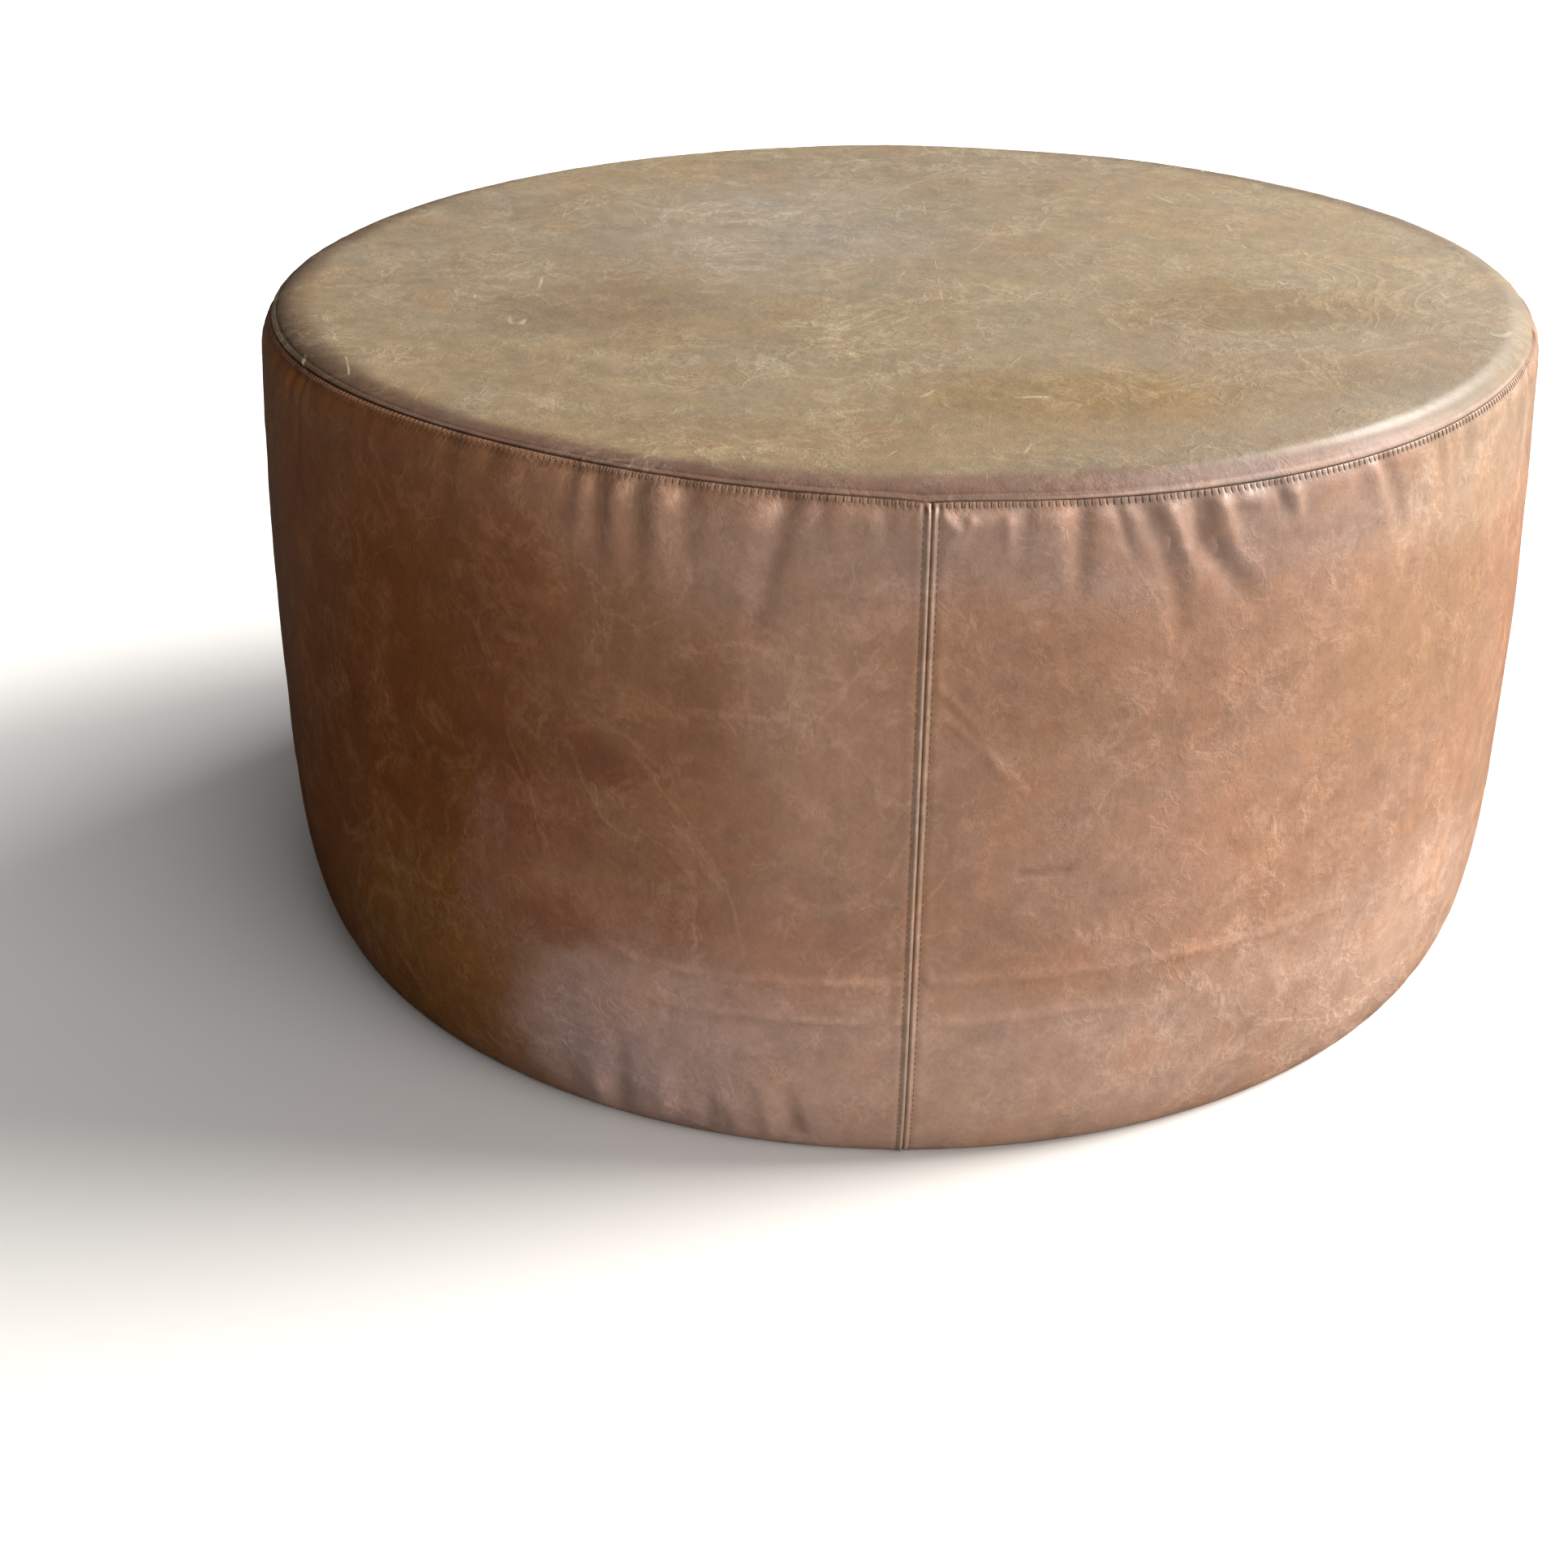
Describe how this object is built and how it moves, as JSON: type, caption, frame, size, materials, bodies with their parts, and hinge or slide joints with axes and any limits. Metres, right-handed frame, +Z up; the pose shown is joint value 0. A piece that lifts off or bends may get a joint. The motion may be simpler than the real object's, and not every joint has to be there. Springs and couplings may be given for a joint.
{
  "type": "leather pouf",
  "caption": "Round drum-shaped leather floor pouf with a flat top, rolled edges, double-stitched side seams and a zipped base over a foam filling.",
  "frame": {"origin": "on the floor, at the centre of the base", "axes": "+Z up, -Y towards the front seam, +X to the right as seen from the front, with the zip along X"},
  "size_m": [0.8864, 0.8864, 0.43],
  "materials": {
    "top_leather": "satin",
    "side_leather": "satin",
    "base_leather": "matte",
    "thread": "matte",
    "zip_tape": "matte",
    "zip_metal": "satin",
    "calico": "matte",
    "wadding": "matte",
    "foam": "matte"
  },
  "bodies": {
    "root": {"top_panel": "top_leather", "side_panel_front_right": "side_leather", "side_panel_back_right": "side_leather", "side_panel_back_left": "side_leather", "side_panel_front_left": "side_leather", "base_panel_front": "base_leather", "base_panel_back": "base_leather", "top_seam_thread": "thread", "front_seam_thread": "thread", "right_seam_thread": "thread", "back_seam_thread": "thread", "left_seam_thread": "thread", "base_seam_thread": "thread", "zip_tape_front": "zip_tape", "zip_tape_back": "zip_tape", "zip_stitching_front": "thread", "zip_stitching_back": "thread", "zip_teeth_front": "zip_metal", "zip_teeth_back": "zip_metal", "zip_top_stops": "zip_metal", "zip_bottom_stop": "zip_metal", "liner_top": "calico", "liner_side": "calico", "liner_base": "calico", "wadding_top": "wadding", "wadding_side": "wadding", "foam_topper": "foam", "foam_core": "foam"},
    "slider": {"zip_slider": "zip_metal"},
    "pull": {"zip_pull": "zip_metal"}
  },
  "joints": [
    {"name": "zip_slide", "type": "slide", "parent": "root", "child": "slider", "axis": [-1, 0, 0], "range_m": [0, 0.58]},
    {"name": "pull_hinge", "type": "hinge", "parent": "slider", "child": "pull", "pos_m": [0.29, 0, 0.0043], "axis": [0, -1, 0], "range_deg": [0, 180]}
  ]
}
